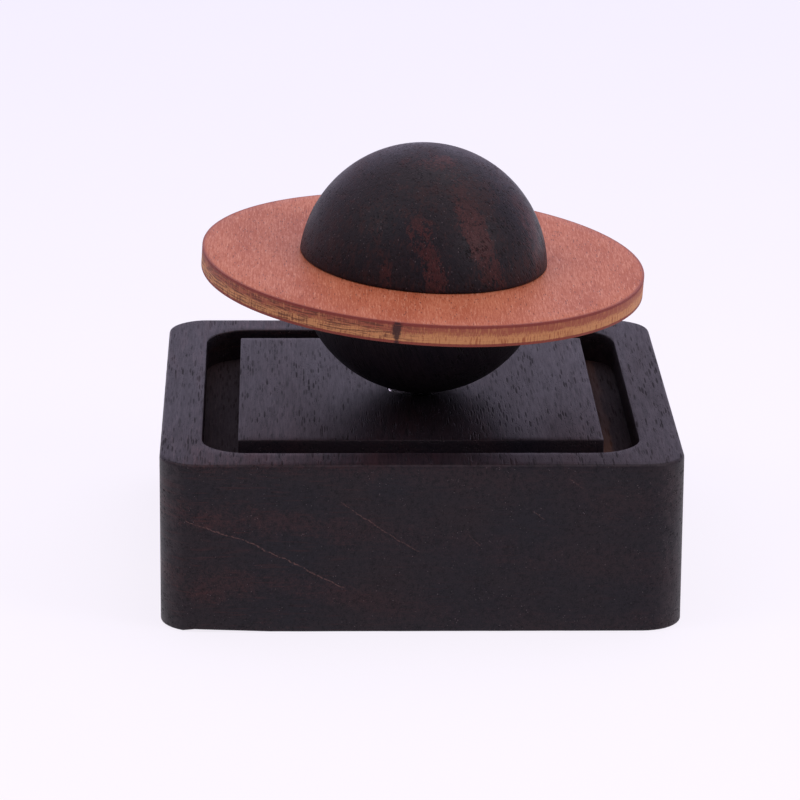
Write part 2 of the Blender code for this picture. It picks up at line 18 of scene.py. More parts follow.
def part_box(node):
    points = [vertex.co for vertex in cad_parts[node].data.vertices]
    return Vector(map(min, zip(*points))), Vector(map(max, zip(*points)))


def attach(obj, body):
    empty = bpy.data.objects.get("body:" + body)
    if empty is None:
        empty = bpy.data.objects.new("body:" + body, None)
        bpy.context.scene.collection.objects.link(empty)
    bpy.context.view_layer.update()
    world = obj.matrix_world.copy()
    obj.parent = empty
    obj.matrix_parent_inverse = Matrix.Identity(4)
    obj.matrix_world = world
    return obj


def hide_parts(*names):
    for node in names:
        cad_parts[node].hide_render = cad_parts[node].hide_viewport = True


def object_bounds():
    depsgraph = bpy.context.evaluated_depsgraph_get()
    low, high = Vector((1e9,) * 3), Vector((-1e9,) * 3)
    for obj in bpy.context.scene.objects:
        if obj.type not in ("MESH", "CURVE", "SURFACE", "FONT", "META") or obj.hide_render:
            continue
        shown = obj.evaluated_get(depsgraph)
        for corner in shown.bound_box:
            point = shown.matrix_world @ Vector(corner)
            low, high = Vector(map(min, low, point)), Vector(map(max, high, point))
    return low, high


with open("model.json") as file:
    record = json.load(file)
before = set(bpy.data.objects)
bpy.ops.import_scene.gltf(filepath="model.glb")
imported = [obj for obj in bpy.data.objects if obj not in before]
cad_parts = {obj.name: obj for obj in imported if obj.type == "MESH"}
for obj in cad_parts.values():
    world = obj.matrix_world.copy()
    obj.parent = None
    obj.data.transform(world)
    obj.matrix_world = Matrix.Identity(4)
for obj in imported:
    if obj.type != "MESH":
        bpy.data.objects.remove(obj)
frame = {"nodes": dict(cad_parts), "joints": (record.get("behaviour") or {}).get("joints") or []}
cad_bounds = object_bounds()
nodes = frame["nodes"]
joints = {joint["name"]: joint for joint in frame["joints"]}
MM = 0.001

# %% [markdown]
# ## Measures
# Nothing is measured twice: the box, the pocket and the plate are read from the frame's own
# pieces. The planet leans a little on its magnet, so its middle and axis come from the joint
# that its ring turns on, and everything about the planet is then built upright round its own
# origin and leaned afterwards. That keeps the growth rings and plies easy to describe. The
# engineering model leaves a gap under the ball, so the planet is let down to stand on the plate.

# %% Measures from the frame
BOX_LOW, BOX_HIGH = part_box("box_frame")
PLATE_LOW, PLATE_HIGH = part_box("top_plate")
PANEL_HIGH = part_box("bottom_panel")[1]
FLOOR_LOW, FLOOR_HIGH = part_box("pocket_floor")
DRAWER_FACE_LOW, DRAWER_FACE_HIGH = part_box("drawer_face")
MAGNET_LOW, MAGNET_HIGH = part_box("plate_magnet")
ROOF_LOW, ROOF_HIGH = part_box("middle_panel")
FIT_GAP = 0.3 * MM
POCKET_HALF = PANEL_HIGH.x + FIT_GAP
PLANET_MIDDLE = Vector(joints["ring_turn"]["pos_m"])
PLANET_AXIS = Vector(joints["ring_turn"]["axis"]).normalized()
LEAN = Vector((0, 0, 1)).rotation_difference(PLANET_AXIS).to_matrix().to_4x4()
SETTLED = 0.185 * MM
PLANET_PLACE = Matrix.Translation(PLANET_MIDDLE - PLANET_AXIS * SETTLED) @ LEAN
print("box", [round(v / MM, 1) for v in BOX_HIGH - BOX_LOW], "mm, pocket half",
      round(POCKET_HALF / MM, 2))
print("drawer space", round((ROOF_LOW.z - PANEL_HIGH.z) / MM, 1), "mm high under a roof of",
      round((ROOF_HIGH.z - ROOF_LOW.z) / MM, 1), "mm")
print("planet leans", round(math.degrees(PLANET_AXIS.angle(Vector((0, 0, 1)))), 1), "degrees")

# %% [markdown]
# ## The camera
# A long lens from about sixty centimetres makes the box look square and calm. It looks down
# seventeen degrees, from a hair to the left of straight ahead. The aim is given from the middle
# of the whole object, so the picture would follow the object if its size changed.

# %% Place the camera
LENS = 198.62
SENSOR = 36.0
CAMERA_DISTANCE = 616.76 * MM
CAMERA_AZIMUTH = -0.029139
CAMERA_ELEVATION = 0.296924
CAMERA_ROLL = 0.007719
whole_middle = (cad_bounds[0] + cad_bounds[1]) / 2
AIM = whole_middle + Vector((-2.17, 0.0, -7.71)) * MM
backwards = Vector((math.sin(CAMERA_AZIMUTH) * math.cos(CAMERA_ELEVATION),
                    -math.cos(CAMERA_AZIMUTH) * math.cos(CAMERA_ELEVATION),
                    math.sin(CAMERA_ELEVATION)))
level_right = (-backwards).cross(Vector((0, 0, 1))).normalized()
level_up = level_right.cross(-backwards)
right = math.cos(CAMERA_ROLL) * level_right + math.sin(CAMERA_ROLL) * level_up
up = math.cos(CAMERA_ROLL) * level_up - math.sin(CAMERA_ROLL) * level_right
camera_data = bpy.data.cameras.new("camera")
camera_data.lens = LENS
camera_data.sensor_width = SENSOR
camera_data.clip_start = 0.01
camera_data.clip_end = 20
camera = bpy.data.objects.new("camera", camera_data)
bpy.context.scene.collection.objects.link(camera)
turn = Matrix((right, up, backwards)).transposed().to_4x4()
camera.matrix_world = Matrix.Translation(AIM + backwards * CAMERA_DISTANCE) @ turn
bpy.context.scene.camera = camera
bpy.context.scene.view_settings.view_transform = "Standard"
bpy.context.scene.view_settings.look = "None"
print("camera at", [round(v / MM) for v in camera.matrix_world.translation], "mm")

# %% [markdown]
# ## Materials as sums
# A procedural material is a sum of patterns. Writing it as sums in Python is far easier to read
# than wiring nodes by hand, so one small class wraps a socket and turns + - and * into Math nodes.
# Colours never go through Math nodes, which would turn them grey: they are mixed instead.

# %% A value that flows through a material
class Flow:
    """One value inside a material, which can be used in ordinary sums."""

    def __init__(self, look, socket):
        self.look = look
        self.socket = socket

    def math(self, operation, *parts):
        return self.look.add("ShaderNodeMath", {"operation": operation}, dict(enumerate(parts)))

    def __add__(self, other):
        return self.math("ADD", self, other)

    def __radd__(self, other):
        return self.math("ADD", other, self)

    def __sub__(self, other):
        return self.math("SUBTRACT", self, other)

    def __rsub__(self, other):
        return self.math("SUBTRACT", other, self)

    def __mul__(self, other):
        return self.math("MULTIPLY", self, other)

    def __rmul__(self, other):
        return self.math("MULTIPLY", other, self)

    def size(self):
        return self.math("ABSOLUTE", self)

    def root(self):
        return self.math("SQRT", self)

    def wave(self):
        return self.math("SINE", self)

    def most(self, other):
        return self.math("MAXIMUM", self, other)

    def step(self, low, high):
        """0 below low, 1 above high and smooth between; the other way round if high < low."""
        start, end = (1.0, 0.0) if high < low else (0.0, 1.0)
        sockets = {0: self, 1: min(low, high), 2: max(low, high), 3: start, 4: end}
        return self.look.add("ShaderNodeMapRange", {"interpolation_type": "SMOOTHSTEP"}, sockets)


# %% [markdown]
# A second class holds the material itself. Its one method for making nodes takes the kind, the
# settings and the socket values, and every pattern in this lesson goes through it. Places are in
# millimetres on the piece, so that a pore is as wide on the box as it is on the ball.

# %% A material with a place for each pattern
class Look:
    """A material under construction: add() makes any node, the rest are short names for it."""

    def __init__(self, name, world=False):
        owner = bpy.data.worlds.new(name) if world else bpy.data.materials.new(name)
        owner.use_nodes = True
        self.owner = owner
        self.nodes = owner.node_tree.nodes
        self.links = owner.node_tree.links
        self.nodes.clear()

    def add(self, kind, settings, sockets, out=0):
        node = self.nodes.new(kind)
        for key, value in settings.items():
            setattr(node, key, value)
        for key, value in sockets.items():
            if isinstance(value, Flow):
                self.links.new(value.socket, node.inputs[key])
            else:
                node.inputs[key].default_value = value
        return Flow(self, node.outputs[out])

    def place(self):
        """Where a point is on its piece, in millimetres."""
        metres = self.add("ShaderNodeTexCoord", {}, {}, out="Object")
        return self.add("ShaderNodeVectorMath", {"operation": "SCALE"}, {0: metres, 3: 1000.0})

    def facing(self):
        """The way a point of the surface faces, as three values."""
        return self.split(self.add("ShaderNodeTexCoord", {}, {}, out="Normal"))

    def split(self, vector):
        parts = self.add("ShaderNodeSeparateXYZ", {}, {0: vector})
        return [Flow(self, output) for output in parts.socket.node.outputs]

    def stretch(self, place, widths, shift=0.0):
        """The place counted in pattern widths, so that a pattern comes out that wide each way."""
        scaled = self.add("ShaderNodeVectorMath", {"operation": "DIVIDE"}, {0: place, 1: widths})
        sockets = {0: scaled, 1: (shift, -shift, shift)}
        return self.add("ShaderNodeVectorMath", {"operation": "ADD"}, sockets)

    def along(self, place, direction):
        """How far along a direction the place is."""
        settings = {"operation": "DOT_PRODUCT"}
        return self.add("ShaderNodeVectorMath", settings, {0: place, 1: direction}, out="Value")

    def noise(self, place, widths, detail=3.0, roughness=0.55, shift=0.0):
        sockets = {"Vector": self.stretch(place, widths, shift), "Scale": 1.0, "Detail": detail,
                   "Roughness": roughness}
        return self.add("ShaderNodeTexNoise", {}, sockets)

    def cells(self, place, widths, shift=0.0):
        """The distance to the nearest of many scattered points, and a random value for each."""
        sockets = {"Vector": self.stretch(place, widths, shift), "Scale": 1.0, "Randomness": 1.0}
        distance = self.add("ShaderNodeTexVoronoi", {}, sockets)
        colour = Flow(self, distance.socket.node.outputs["Color"])
        return distance, self.split(colour)[0]

    def mix(self, first, second, amount):
        settings = {"data_type": "RGBA", "clamp_factor": True}
        return self.add("ShaderNodeMix", settings, {0: amount, 6: first, 7: second}, out=2)

    def finish(self, colour, roughness, height=None, **constants):
        """Ends in a Principled shader. Height is in millimetres."""
        sockets = {"Base Color": colour, "Roughness": roughness}
        if height is not None:
            sockets["Normal"] = self.add("ShaderNodeBump", {}, {"Height": height, "Distance": MM})
        sockets.update(constants)
        shader = self.add("ShaderNodeBsdfPrincipled", {}, sockets)
        output = self.nodes.new("ShaderNodeOutputMaterial")
        self.links.new(shader.socket, output.inputs[0])
        print("finish", self.owner.name, "with", len(self.nodes), "nodes")
        return self.owner


# %% [markdown]
# ## The floor and the light
# The puzzle stands on a pale table in a white tent. The tent is brightest behind and above, and
# the side that the camera stands on is dim. That is why every face that slopes to the back shows
# a soft lavender sheen, and the front of the box stays nearly black. The tent is one gradient by
# direction.

# %% Make the tent
TENT_BACK = (0.90, 0.80, 1.08, 1)
TENT_FRONT = (0.22, 0.20, 0.24, 1)
TENT_TOP = (0.95, 0.88, 0.98, 1)
tent = Look("tent", world=True)
toward = tent.split(tent.add("ShaderNodeTexCoord", {}, {}, out="Generated"))
round_tent = tent.mix(TENT_FRONT, TENT_BACK, toward[1].step(0.05, 0.95))
tent_colour = tent.mix(round_tent, TENT_TOP, toward[2].step(0.60, 0.95))
tent_light = tent.add("ShaderNodeBackground", {}, {"Color": tent_colour, "Strength": 1.0})
tent_output = tent.nodes.new("ShaderNodeOutputWorld")
tent.links.new(tent_light.socket, tent_output.inputs[0])
bpy.context.scene.world = tent.owner
print("tent ready")

# %% [markdown]
# The floor gives out most of its light itself, like a light table, so only a breath of shadow is
# left round the box. It lies a hair below the box, so that the two faces never fight.

# %% Make the floor
FLOOR_REACH = 4.0
FLOOR_DROP = 0.02 * MM
MOTTLE_WIDTH = 90
FLOOR_GLOW = 0.86
TABLE_PALE = (0.165, 0.157, 0.170, 1)
TABLE_PALER = (0.180, 0.172, 0.185, 1)
GLOW_NEAR = (0.975, 0.935, 1.0, 1)
GLOW_FAR = (0.905, 0.870, 1.0, 1)
floor_mesh = bpy.data.meshes.new("table")
floor_corners = [(-FLOOR_REACH, -FLOOR_REACH, 0), (FLOOR_REACH, -FLOOR_REACH, 0),
                 (FLOOR_REACH, FLOOR_REACH, 0), (-FLOOR_REACH, FLOOR_REACH, 0)]
floor_place = Vector((0, 0, BOX_LOW.z - FLOOR_DROP))
floor_mesh.from_pydata([Vector(c) + floor_place for c in floor_corners], [], [(0, 1, 2, 3)])
table = bpy.data.objects.new("table", floor_mesh)
bpy.context.scene.collection.objects.link(table)
table_look = Look("pale table")
table_place = table_look.place()
mottle = table_look.noise(table_place, (MOTTLE_WIDTH, MOTTLE_WIDTH, MOTTLE_WIDTH), detail=2)
table_colour = table_look.mix(TABLE_PALE, TABLE_PALER, mottle)
farther = table_look.split(table_place)[1].step(-150, 450)
table_glow = {"Emission Color": table_look.mix(GLOW_NEAR, GLOW_FAR, farther),
              "Emission Strength": FLOOR_GLOW, "Specular IOR Level": 0.0}
floor_mesh.materials.append(table_look.finish(table_colour, 0.9, **table_glow))
print("table", 2 * FLOOR_REACH, "m square")

# %% [markdown]
# Three soft round lamps add to the tent. One hangs overhead, one stands at the right front, and
# one stands at the left front and higher. All three look at the middle of the whole object.

# %% Hang the soft lights
LAMP_COLOUR = (0.97, 0.94, 1.0)


def soft_light(name, place, aim, width, watts):
    """A round lamp, width metres across, that looks from place to aim."""
    data = bpy.data.lights.new(name, "AREA")
    data.shape = "DISK"
    data.size = width
    data.energy = watts
    data.color = LAMP_COLOUR
    lamp = bpy.data.objects.new(name, data)
    bpy.context.scene.collection.objects.link(lamp)
    facing = (place - aim).to_track_quat("Z", "Y").to_matrix().to_4x4()
    lamp.matrix_world = Matrix.Translation(place) @ facing


soft_light("overhead_light", Vector((0.25, 0.20, 0.70)), whole_middle, 0.6, 0.7)
soft_light("right_light", Vector((0.52, -0.28, 0.38)), whole_middle, 0.30, 1.1)
soft_light("left_light", Vector((-0.47, -0.19, 0.58)), whole_middle, 0.34, 0.80)

# %% [markdown]
# ## The dark hardwood
# Rosewoods and blackwoods look nearly black until light falls on them. Then they show bands of
# red-brown heartwood, long pores that have been cut open along the grain, and short pale dots
# where the pores are cut across. The grain of every dark piece runs from front to back, so the
# tops and sides show long pores and the front shows end grain. The growth layers are slanting
# planes, made by a sine wave along their normal and broken up by noise. A pore is the
# middle of a stretched cell, which is a third of a millimetre wide and some millimetres long.

# %% Dark hardwood for any piece
NEAR_BLACK = (0.0122, 0.0102, 0.0158, 1)
DEEP_BROWN = (0.0195, 0.0130, 0.0168, 1)
HEART_RED = (0.0620, 0.0185, 0.0190, 1)
HEART_PALE = (0.1350, 0.0560, 0.0480, 1)
PORE_BLACK = (0.0030, 0.0018, 0.0024, 1)
DUST_PALE = (0.1500, 0.1150, 0.1250, 1)
EDGE_PALE = (0.0600, 0.0430, 0.0480, 1)
HARDWOOD_SHINE = {"Specular IOR Level": 0.19}


def growth_layers(look, place, lengthwise, layers):
    """A wave through the wood, from -1 to 1. layers is (normal, spacing, shift)."""
    normal, spacing, shift = layers
    sway = look.noise(lengthwise, (15, 55, 15), detail=2)
    depth = look.along(place, Vector(normal).normalized()[:]) + (sway - 0.5) * spacing * 0.8
    return ((depth - shift) * (2 * math.pi / spacing)).wave()


def open_pores(look, lengthwise, pore_length, crowding):
    """Large and fine pores cut open along the grain, and the dust that fills some of them."""
    distance, chance = look.cells(lengthwise, (0.34, pore_length, 0.34))
    pores = (distance + (chance - 0.5) * 0.5).step(0.34, 0.14) * chance.step(0.62, 0.45)
    pores = pores * (0.2 + crowding * 0.8)
    distance, chance = look.cells(lengthwise, (0.17, pore_length * 0.35, 0.17), shift=5)
    fine_pores = distance.step(0.40, 0.15) * chance.step(0.40, 0.50) * (0.35 + crowding * 0.65)
    dust = chance.step(0.965, 0.980) * distance.step(0.45, 0.25) * crowding
    return pores.most(fine_pores * 0.75), dust


def dark_grain(look, place, layers, redness, fibre=(0, 1, 0), pore_length=3.4, favour=0.0):
    """Colour, roughness, height and worn edges. favour adds red where it is above zero."""
    swing = Vector(fibre).rotation_difference(Vector((0, 1, 0)))
    sockets = {"Vector": place, "Axis": swing.axis[:], "Angle": swing.angle}
    lengthwise = look.add("ShaderNodeVectorRotate", {"rotation_type": "AXIS_ANGLE"}, sockets)
    bands = growth_layers(look, place, lengthwise, layers)
    patches = look.noise(lengthwise, (5, 26, 4), detail=5, roughness=0.62, shift=3)
    fibres = look.noise(lengthwise, (0.15, 3.0, 0.15), detail=3, roughness=0.75)
    strands = look.noise(lengthwise, (0.50, 8.0, 0.50), detail=4, roughness=0.65, shift=8)
    mellow = look.noise(lengthwise, (11, 40, 9), detail=3, shift=7)
    shade = (fibres - 0.5) * 1.2 + (strands - 0.5) * 0.9
    reds = bands * 0.22 + (patches - 0.5) * 0.9 + shade * 0.75 + favour
    red = reds.step(-0.02, 0.42) * redness
    colour = look.mix(NEAR_BLACK, DEEP_BROWN, (mellow + shade * 0.6).step(0.30, 0.70))
    colour = look.mix(colour, HEART_RED, red)
    colour = look.mix(colour, PORE_BLACK, shade.step(0.05, -0.30) * 0.75)
    colour = look.mix(colour, HEART_PALE, shade.step(0.12, 0.42) * red * 0.8)
    normal_way = look.add("ShaderNodeTexCoord", {}, {}, out="Normal")
    facing = look.split(normal_way)
    end_grain = look.along(normal_way, Vector(fibre).normalized()[:]).size().step(0.62, 0.86)
    crowding = look.noise(place, (3.2, 9, 2.2), detail=2, shift=11).step(0.35, 0.65)
    pores, dust = open_pores(look, lengthwise, pore_length, crowding)
    colour = look.mix(colour, PORE_BLACK, pores * (1 - end_grain * 0.85) * 0.75)
    colour = look.mix(colour, DUST_PALE, dust * end_grain * 0.75)
    slope = facing[0].size().most(facing[1].size()).most(facing[2].size())
    rubbed = look.noise(place, (1.1, 1.1, 1.1), detail=3, shift=5).step(0.35, 0.65)
    roughness = 0.46 - shade * 0.20 + pores * 0.22 + (mellow - 0.5) * 0.25
    height = shade * 0.014 - pores * 0.045
    worn = slope.step(0.965, 0.80) * rubbed
    return {"colour": colour, "roughness": roughness, "height": height, "worn": worn}


# %% [markdown]
# The front of the box has picked up a few hairline scratches. A scratch is a short segment drawn
# on the front face, given by its two ends and its width in millimetres and by its strength. The
# distance to it makes a thin pale line and a shallow groove.

# %% Scratches on the front face
FRONT_SCRATCHES = [((-31.4, 15.5), (-22.9, 12.6), 0.075, 0.75),
                   ((-22.9, 12.6), (-10.5, 6.2), 0.075, 0.80),
                   ((-10.8, 18.2), (-3.0, 12.8), 0.065, 0.65),
                   ((-3.0, 12.8), (-0.5, 11.4), 0.055, 0.40),
                   ((6.0, 13.7), (7.6, 12.2), 0.060, 0.40),
                   ((14.6, 16.9), (16.2, 15.7), 0.060, 0.40),
                   ((19.4, 21.3), (21.1, 20.2), 0.060, 0.35)]
SCRATCH_RED = (0.130, 0.065, 0.060, 1)


def scratch(x, z, start, end, width, strength):
    """A fine line from start to end on a front face, in millimetres."""
    run = Vector(end) - Vector(start)
    direction = run.normalized()
    along = (x - start[0]) * direction.x + (z - start[1]) * direction.y
    across = (x - start[0]) * direction.y - (z - start[1]) * direction.x
    line = across.size().step(width * 1.6, width * 0.4)
    return line * along.step(-0.3, 0.2) * along.step(run.length + 0.3, run.length - 0.2) * strength


def box_hardwood():
    look = Look("box dark hardwood")
    place = look.place()
    x, y, z = look.split(place)
    redder = 0.10 + x.step(8, -34) * 0.30
    grain = dark_grain(look, place, ((0.12, 0, 1), 9.0, 1.5), redder)
    front = y.step(BOX_LOW.y / MM + 0.8, BOX_LOW.y / MM + 0.4)
    wander = (look.noise(place, (2.2, 2.2, 2.2), detail=4, roughness=0.6, shift=12) - 0.5) * 1.1
    broken = look.noise(place, (0.35, 0.35, 0.35), detail=2, shift=13).step(0.40, 0.58)
    lines = 0.0
    for start, end, width, strength in FRONT_SCRATCHES:
        lines = scratch(x, z + wander, start, end, width, strength) + lines
    lines = lines * front * (0.15 + broken * 0.85)
    levels = look.noise(place, (4.5, 40, 0.30), detail=3, roughness=0.6, shift=14)
    colour = look.mix(grain["colour"], HEART_RED, levels.step(0.52, 0.72) * redder)
    colour = look.mix(colour, EDGE_PALE, grain["worn"] * 0.30)
    colour = look.mix(colour, SCRATCH_RED, lines)
    height = grain["height"] - lines * 0.03
    return look.finish(colour, grain["roughness"] + lines * 0.1, height, **HARDWOOD_SHINE)


BOX_HARDWOOD = box_hardwood()

# %% [markdown]
# The plate comes from the same board, but it was sanded with the grain up to its sharp corners.
# The pocket's floor was never sanded so well: it is browner, and on the right a tan streak of
# sapwood runs along under the plate's edge.

# %% Plate and pocket floor
SAPWOOD_TAN = (0.110, 0.050, 0.030, 1)
FLOOR_BROWN = (0.0170, 0.0095, 0.0100, 1)
SAPWOOD_X = 25.9
SAPWOOD_WIDTH = 1.3
FLOOR_SHINE = {"Specular IOR Level": 0.14}


def plate_hardwood():
    look = Look("plate dark hardwood")
    place = look.place()
    grain = dark_grain(look, place, ((0.9, 0, 0.45), 12.0, 3.0), 0.12)
    colour = look.mix(grain["colour"], EDGE_PALE, grain["worn"] * 0.30)
    return look.finish(colour, grain["roughness"], grain["height"], **HARDWOOD_SHINE)


def pocket_floor_hardwood():
    look = Look("pocket floor hardwood")
    place = look.place()
    grain = dark_grain(look, place, ((1, 0, 0.2), 9.0, 0.0), 0.3)
    x, y = look.split(place)[:2]
    sway = look.noise(place, (2.5, 9, 9), detail=3, shift=2)
    streak = (x - SAPWOOD_X + (sway - 0.5) * 2.0).size().step(SAPWOOD_WIDTH, SAPWOOD_WIDTH * 0.3)
    fading = y.step(2.0, -20.0)
    colour = look.mix(grain["colour"], FLOOR_BROWN, 0.6)
    colour = look.mix(colour, SAPWOOD_TAN, streak * (0.25 + fading * 0.7))
    return look.finish(colour, grain["roughness"] + 0.30, grain["height"], **FLOOR_SHINE)


PLATE_HARDWOOD = plate_hardwood()
POCKET_HARDWOOD = pocket_floor_hardwood()

# %% [markdown]
# The ball was turned from a block with red heartwood in it. The red comes out as short broken
# streaks down the front and as slanting layers at the back. The lower half, under the ring, is
# painted plain black, without red, brown or pale dust, as painted shade. One streak is the inside
# of a long soft ellipsoid that cuts the ball's surface, given by its middle, its way, its half
# length and half width, and how red it is. Across the left front the fibres end in the surface,
# so the pores there are dots, and on the right they run down the side as fine lines.

# %% Ball hardwood
BALL_LAYERS = ((0.86, 0.0, 0.51), 6.6, 8.35)
BALL_FIBRE = (-0.35, -0.45, 0.82)
BALL_SHINE = {"Specular IOR Level": 0.20}
BALL_BROWN = (0.0330, 0.0140, 0.0150, 1)
RED_STREAKS = [((-0.4, -4.6, 16.6), (1.0, -0.2, 0.0), 2.6, 2.0, 1.1),
               ((5.1, -11.7, 11.3), (3.1, -4.1, -5.9), 4.6, 1.7, 1.0),
               ((8.2, -14.2, 4.4), (2.2, -0.8, -5.7), 3.8, 1.9, 1.0),
               ((-1.1, -14.7, 8.8), (0.2, -1.4, -2.3), 2.8, 2.1, 0.8),
               ((0.6, -16.8, 3.6), (0.7, -0.6, -2.7), 2.6, 1.4, 1.0),
               ((-6.1, -15.8, 3.0), (0.0, 0.2, -1.0), 1.9, 1.2, 0.9),
               ((14.4, -7.6, 5.0), (0.8, -2.8, -6.2), 7.0, 2.6, 1.0)]


def red_streak(look, place, middle, way, half_length, half_width):
    """How far into one streak a spot lies: 1 in its middle, 0 outside."""
    way = Vector(way).normalized()
    off = look.add("ShaderNodeVectorMath", {"operation": "SUBTRACT"}, {0: place, 1: middle})
    along = look.along(off, way[:])
    reach = look.along(off, off)
    across = (reach - along * along) * (1 / half_width ** 2)
    inward = along * along * (1 / half_length ** 2) + across
    return inward.step(3.6, 0.0)


def ball_hardwood():
    look = Look("ball dark hardwood")
    place = look.place()
    y, z = look.split(place)[1:]
    streaks = 0.0
    for middle, way, half_length, half_width, strength in RED_STREAKS:
        streak = red_streak(look, place, middle, way, half_length, half_width)
        streaks = streak * strength + streaks
    broken = look.noise(place, (1.5, 1.5, 2.4), detail=6, roughness=0.75, shift=15) - 0.5
    threads = look.noise(place, (0.35, 0.35, 4.0), detail=3, roughness=0.7, shift=16) - 0.5
    behind = y.step(2, 7)
    # Painted shade: this mask makes the lower half, under the ring, plain black.
    below = z.step(-1, -4)
    favour = streaks * 0.74 + broken * 2.4 + threads * 2.0 + behind * 0.34
    # Painted shade: the red is taken out of the lower half.
    favour = favour - 0.52 - below * 0.6
    grain = dark_grain(look, place, BALL_LAYERS, 1.0, BALL_FIBRE, 1.5, favour)
    rubbed = look.noise(place, (6, 6, 6), detail=4, shift=9)
    brown = (broken + threads + (rubbed - 0.5) * 0.8).step(-0.04, 0.16) * 0.75
    # Painted shade: the brown mottle fades out in the lower half.
    colour = look.mix(grain["colour"], BALL_BROWN, brown * (1 - below * 0.9))
    distance, chance = look.cells(place, (0.24, 0.24, 0.36), shift=17)
    # Painted shade: pale dust specks go only on the upper half, none below.
    dust = distance.step(0.40, 0.15) * chance.step(0.93, 0.97) * z.step(-2, 0)
    colour = look.mix(colour, DUST_PALE, dust * 0.6)
    roughness = grain["roughness"] + (rubbed - 0.5) * 0.3 + threads * 0.15
    height = grain["height"] * 1.7 + threads * 0.01
    return look.finish(colour, roughness, height, **BALL_SHINE)


BALL_HARDWOOD = ball_hardwood()

# %% [markdown]
# ## The ring's plywood
# The ring was cut by a laser from three-ply board and stained. Its faces are veneer with fine
# fibres from front to back and scattered dark flecks. Its edge shows what it is made of: two
# thin veneers, scorched dark red, and a thick core that the stain reached from above, so the
# upper part of the core is red and the lower part is still tan, with upright streaks. There is
# one dark mark where the laser started its cut.

# %% Ring plywood
RING_RADIUS = 30.6 * MM
RING_HALF = 1.47 * MM
VENEER = 0.40 * MM
STAIN_DEPTH = 1.33 * MM
LASER_START = math.radians(-98.2)
FACE_ORANGE = (0.560, 0.172, 0.084, 1)
FACE_DEEP = (0.430, 0.102, 0.042, 1)
FACE_LIGHT = (0.690, 0.295, 0.180, 1)
FLECK_BROWN = (0.150, 0.038, 0.024, 1)
SCORCHED_RED = (0.215, 0.036, 0.028, 1)
CORE_RED = (0.330, 0.085, 0.048, 1)
CORE_TAN = (0.560, 0.245, 0.100, 1)
CORE_STREAK = (0.330, 0.085, 0.032, 1)
CHAR_BROWN = (0.110, 0.032, 0.020, 1)
LASER_BLACK = (0.035, 0.012, 0.013, 1)
RING_SHINE = {"Specular IOR Level": 0.30}


def stained_face(look, place, x, y):
    """Colour of the veneer, its light and dark fibres and its flecks."""
    broad = look.noise(place, (6, 15, 7), detail=5, roughness=0.6)
    fibres = look.noise(place, (0.26, 3.5, 0.5), detail=4, roughness=0.7)
    hairs = look.noise(place, (0.13, 1.2, 0.2), detail=3, roughness=0.7, shift=4)
    shade = (fibres - 0.5) * 1.4 + (hairs - 0.5) * 1.3
    face = look.mix(FACE_DEEP, FACE_ORANGE, (broad + shade * 0.2).step(0.26, 0.66))
    face = look.mix(face, FACE_LIGHT, shade.step(0.0, 0.40) * 0.85)
    face = look.mix(face, FACE_DEEP, shade.step(0.0, -0.35))
    distance, chance = look.cells(place, (0.26, 1.3, 0.8))
    flecks = distance.step(0.38, 0.12) * chance.step(0.58, 0.86)
    face = look.mix(face, FLECK_BROWN, flecks * 0.85)
    from_axis = (x * x + y * y).root() + shade * 0.3
    scorched = from_axis.step(RING_RADIUS / MM - 0.50, RING_RADIUS / MM - 0.08)
    return look.mix(face, SCORCHED_RED, scorched * 0.75), shade, flecks


def laser_cut_edge(look, x, y, z):
    """Colour of the edge and its upright streaks, worked out on the edge unrolled flat."""
    radius = RING_RADIUS / MM
    around = y.math("ARCTAN2", y, x) * radius
    unrolled = look.add("ShaderNodeCombineXYZ", {}, {0: around, 1: z})
    drift = look.noise(unrolled, (5.0, 1.1, 1), detail=5, roughness=0.65, shift=6) - 0.5
    streaks = look.noise(unrolled, (0.26, 2.4, 1), detail=4, roughness=0.65, shift=8) - 0.5
    bars = look.noise(unrolled, (2.6, 0.22, 1), detail=4, roughness=0.6, shift=9)
    depth = RING_HALF / MM - z + drift * 2.2 + streaks * 5.0
    in_red = depth.step(STAIN_DEPTH / MM + 0.25, STAIN_DEPTH / MM - 0.25)
    tan = look.mix(CORE_TAN, CORE_STREAK, (streaks + drift * 0.3).step(0.02, 0.14) * 0.9)
    red = look.mix(CORE_RED, CORE_TAN, (drift * 0.4 - streaks).step(0.0, 0.16) * 0.55)
    edge = look.mix(tan, red, in_red)
    older = around.step(-radius * 1.50, -radius * 1.80)
    char = (bars + streaks * 0.4).step(0.46, 0.60) * (0.10 + older * 0.72)
    edge = look.mix(edge, CHAR_BROWN, char)
    veneer_from = RING_HALF / MM - VENEER / MM
    from_core = z.size() + streaks * 0.25 + drift * 0.2
    in_veneer = from_core.step(veneer_from - 0.04, veneer_from + 0.06)
    edge = look.mix(edge, SCORCHED_RED, in_veneer * 0.92)
    mark_x = x - radius * math.cos(LASER_START)
    mark_y = y - radius * math.sin(LASER_START)
    from_mark = (mark_x * mark_x + mark_y * mark_y).root()
    mark = (from_mark - z * 0.14 + drift * 2.2 + streaks * 0.9).step(0.58, 0.12)
    return look.mix(edge, LASER_BLACK, mark * 0.9), streaks


def ring_plywood():
    look = Look("ring plywood")
    place = look.place()
    x, y, z = look.split(place)
    on_edge = look.facing()[2].size().step(0.75, 0.45)
    face, shade, flecks = stained_face(look, place, x, y)
    edge, streaks = laser_cut_edge(look, x, y, z)
    colour = look.mix(face, edge, on_edge)
    roughness = 0.50 - shade * 0.15 + on_edge * 0.15
    height = (shade * 0.018 - flecks * 0.03) * (1 - on_edge) + streaks * 0.10 * on_edge
    return look.finish(colour, roughness, height, **RING_SHINE)


RING_PLYWOOD = ring_plywood()
print("ring edge: veneers", VENEER / MM, "mm, stained", STAIN_DEPTH / MM, "mm deep")

# %% [markdown]
# ## Pale woods and plywood inside
# The drawer, its runners, the rails and the dowel are beech: pale, with short brown flecks along
# the grain. The slides and the middle panel are birch plywood, whose edges show thin plies.

